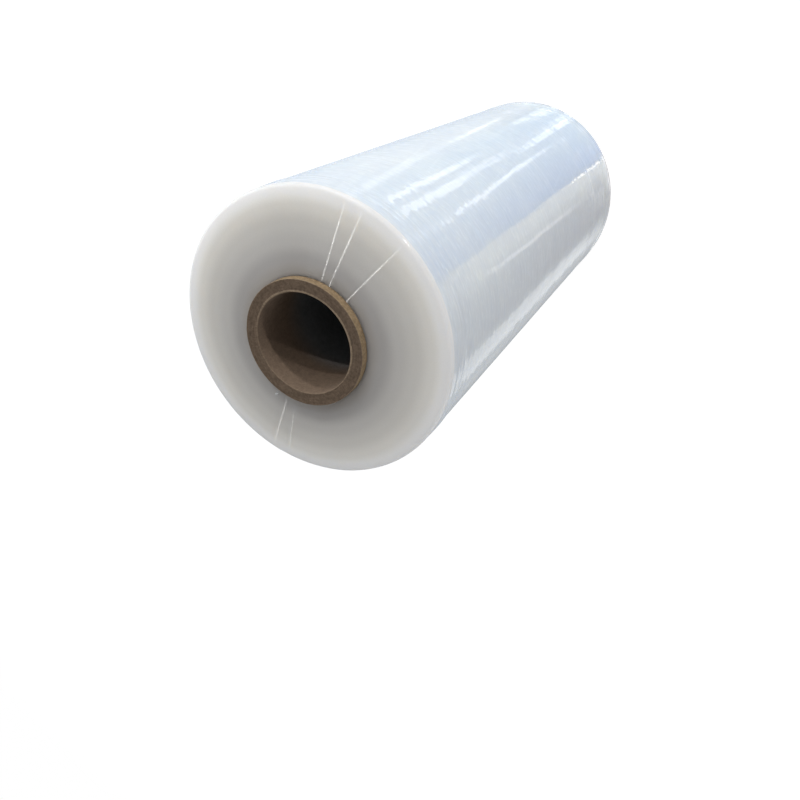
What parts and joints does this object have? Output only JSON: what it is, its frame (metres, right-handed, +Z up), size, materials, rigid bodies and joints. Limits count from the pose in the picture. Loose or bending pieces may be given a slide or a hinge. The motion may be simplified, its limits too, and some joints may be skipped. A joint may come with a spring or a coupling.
{
  "type": "stretch wrap roll",
  "caption": "Roll of clear stretch wrap wound on an open paper tube that stands out at both ends, for wrapping pallets by machine or from a hand holder.",
  "frame": {"origin": "centre of the paper tube's lower cut face, which the roll stands on", "axes": "+Z up along the roll's axis; the roll is round, so +X and +Y are free"},
  "size_m": [0.219, 0.219, 0.52],
  "materials": {
    "tube_board": "matte",
    "clear_film": "gloss"
  },
  "bodies": {
    "root": {"core": "tube_board", "film_roll": "clear_film"}
  },
  "joints": []
}
